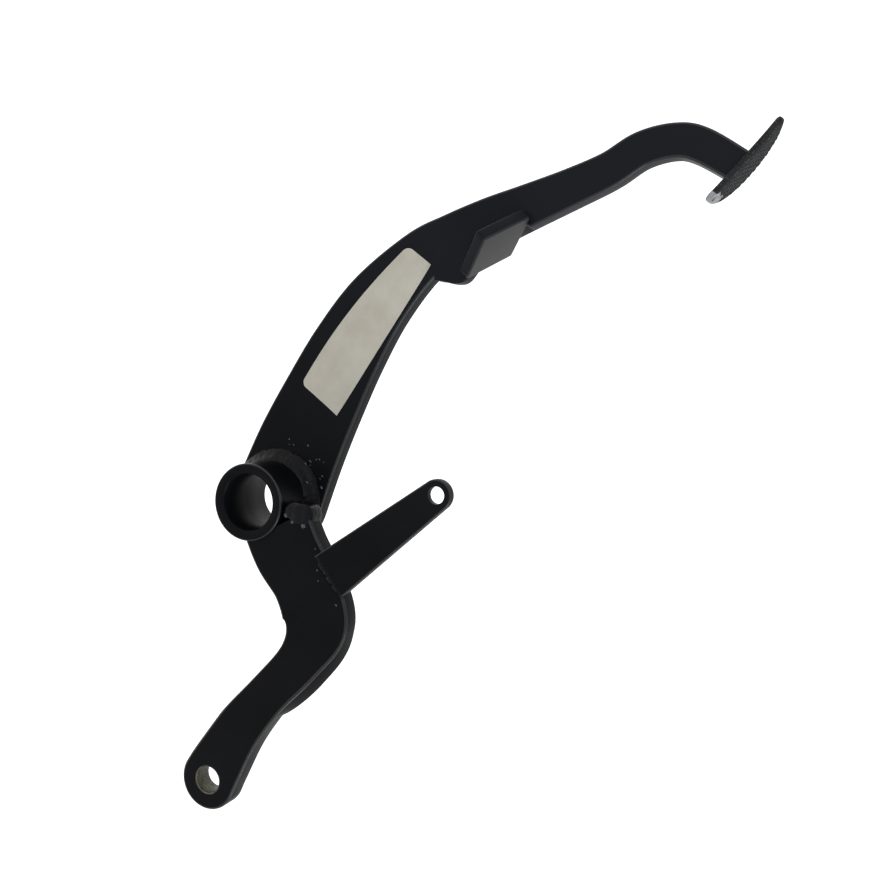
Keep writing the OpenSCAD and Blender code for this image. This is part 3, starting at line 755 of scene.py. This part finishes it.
# Paper strip, s along it and t across: its lower edge bows out by 4 bow s (1 - s), that edge's two
# corners are round, its face waves a little and its corners lift by lift t^6 (2s - 1)^14
label = {"x": 37.17, "z": -8.98, "turn": -1.5, "length": 60.0, "width": 17.5, "tipWidth": 10.5,
         "thick": 0.12, "gap": 0.03, "lift": 0.3, "wave": 0.05, "bow": 2.4, "corner": 2.2}
s = (1 - np.cos(np.linspace(0, np.pi, 161)))[:, None] / 2
t = np.linspace(-1, 1, 41)[None]
widths = (label["width"] + s * (label["tipWidth"] - label["width"])) / 2
toEnd = np.clip(label["corner"] - label["length"] * np.minimum(s, 1 - s), 0, None)
rounding = label["corner"] - np.sqrt(np.clip(label["corner"] ** 2 - toEnd ** 2, 0, None))
bowed = label["bow"] * 4 * s * (1 - s) - rounding
cornerLift = label["lift"] * (np.abs(t) ** 6) * (np.abs(2 * s - 1) ** 14)
wave = label["wave"] * (1 + np.sin(9 * s + 2 * t) * np.cos(5 * t - 3 * s)) / 2
turn = np.radians(label["turn"])
flatU = s * label["length"] + 0 * t
flatV = widths * t - bowed * (1 - t) / 2
stripX = label["x"] + flatU * np.cos(turn) - flatV * np.sin(turn)
stripZ = label["z"] + flatU * np.sin(turn) + flatV * np.cos(turn)
low = arm["face"] + label["gap"] + wave + cornerLift
faceOut = np.stack([stripX, low + label["thick"], stripZ], -1)
faceIn = np.stack([stripX, low, stripZ], -1)
ringOf = [borderOf(g) for g in (faceOut, faceIn)]
labelPiece = addPiece("label_paper_strip", [gridPart(faceOut), gridPart(faceIn),
                      gridPart(np.stack(ringOf), closeColumns=True)], [paper], False)
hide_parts("label_strip")
print("stage: label built")


# One where the camera, a reflection or a clear material looks, nought for light that falls on things
def seenDirectly(tree):
    rays = addNode(tree, "ShaderNodeLightPath").outputs
    either = addNode(tree, "ShaderNodeMath", {"operation": "MAXIMUM"}, {},
                     {0: rays["Is Camera Ray"], 1: rays["Is Glossy Ray"]}).outputs[0]
    return addNode(tree, "ShaderNodeMath", {"operation": "MAXIMUM"}, {},
                   {0: either, 1: rays["Is Transmission Ray"]}).outputs[0]


# Floor far under the pedal, white to the camera and in reflections; its shadow stays out of view
board = {"half": 6, "down": -0.5, "paint": "#f0f0f0"}
floorMaterial = newMaterial("plain_white_painted_board")
tree = floorMaterial.node_tree
floorDiffuse = addNode(tree, "ShaderNodeBsdfDiffuse", {}, {"Color": linear(board["paint"])})
glow = addNode(tree, "ShaderNodeEmission", {}, {"Color": linear("#ffffff")},
               {"Strength": seenDirectly(tree)})
both = addNode(tree, "ShaderNodeAddShader", {}, {}, {0: floorDiffuse.outputs[0],
               1: glow.outputs[0]})
addNode(tree, "ShaderNodeOutputMaterial", {}, {}, {"Surface": both.outputs[0]})
floorMesh = bpy.data.meshes.new("floor_board")
floorMesh.from_pydata([(x * board["half"], y * board["half"], board["down"])
                       for x, y in ((-1, -1), (1, -1), (1, 1), (-1, 1))], [], [(0, 1, 2, 3)])
floorMesh.materials.append(floorMaterial)
floor = bpy.data.objects.new("floor_board", floorMesh)
bpy.context.scene.collection.objects.link(floor)

# World: white to the camera, in reflections and through holes; a plain soft grey light otherwise.
# Lamps in watts and metres
light = {"world": 0.45, "keyPower": 3.4, "keySize": 0.32, "keyPlace": (-0.15, 0.22, 0.82),
         "fillPower": 0.9, "fillSize": 0.5, "fillPlace": (0.5, 0.75, 0.1),
         "aim": (0.06, 0.0, 0.02), "upright": (0.31, 0.95, 0.0)}
world = bpy.data.worlds.new("white_room")
bpy.context.scene.world = world
world.use_nodes = True
tree = world.node_tree
tree.nodes.clear()
strength = addNode(tree, "ShaderNodeMapRange", {}, {"To Min": light["world"], "To Max": 1.0},
                   {"Value": seenDirectly(tree)})
sky = addNode(tree, "ShaderNodeBackground", {}, {"Color": linear("#ffffff")},
              {"Strength": strength.outputs["Result"]})
addNode(tree, "ShaderNodeOutputWorld", {}, {}, {"Surface": sky.outputs[0]})


# Matrix from a place and three directions of its axes
def poseOf(place, axes):
    pose = np.eye(4)
    pose[:3, :3] = np.stack(axes, 1)
    pose[:3, 3] = place
    return Matrix(pose.tolist())


# Square lamp at a place, aimed at the middle of the pedal
def addLamp(name, place, power, size):
    lamp = bpy.data.lights.new(name, "AREA")
    lamp.energy = power
    lamp.size = size
    thing = bpy.data.objects.new(name, lamp)
    away = np.array(place) - light["aim"]
    away = away / np.linalg.norm(away)
    side = np.cross(light["upright"], away)
    side = side / np.linalg.norm(side)
    thing.matrix_world = poseOf(place, [side, np.cross(away, side), away])
    bpy.context.scene.collection.objects.link(thing)


addLamp("key_lamp", light["keyPlace"], light["keyPower"], light["keySize"])
addLamp("fill_lamp", light["fillPlace"], light["fillPower"], light["fillSize"])

# Camera as fitted to the photograph: its place, and its right and up directions
camera = {"lens": 40.589, "place": (0.147052, 0.293499, 0.122149),
          "right": (0.595758, -0.386156, 0.704241), "up": (0.752559, -0.037932, -0.657432)}
shot = bpy.data.cameras.new("camera")
shot.sensor_width = 36.0
shot.lens = camera["lens"]
shot.clip_start = 0.01
shot.clip_end = 50.0
cameraObject = bpy.data.objects.new("camera", shot)
right, up = np.array(camera["right"]), np.array(camera["up"])
right = right / np.linalg.norm(right)
up = up - right * (up @ right)
up = up / np.linalg.norm(up)
cameraObject.matrix_world = poseOf(camera["place"], [right, up, np.cross(right, up)])
bpy.context.scene.collection.objects.link(cameraObject)
bpy.context.scene.camera = cameraObject
bpy.context.scene.view_settings.view_transform = "Standard"
print("stage: stage, lamps and camera placed")
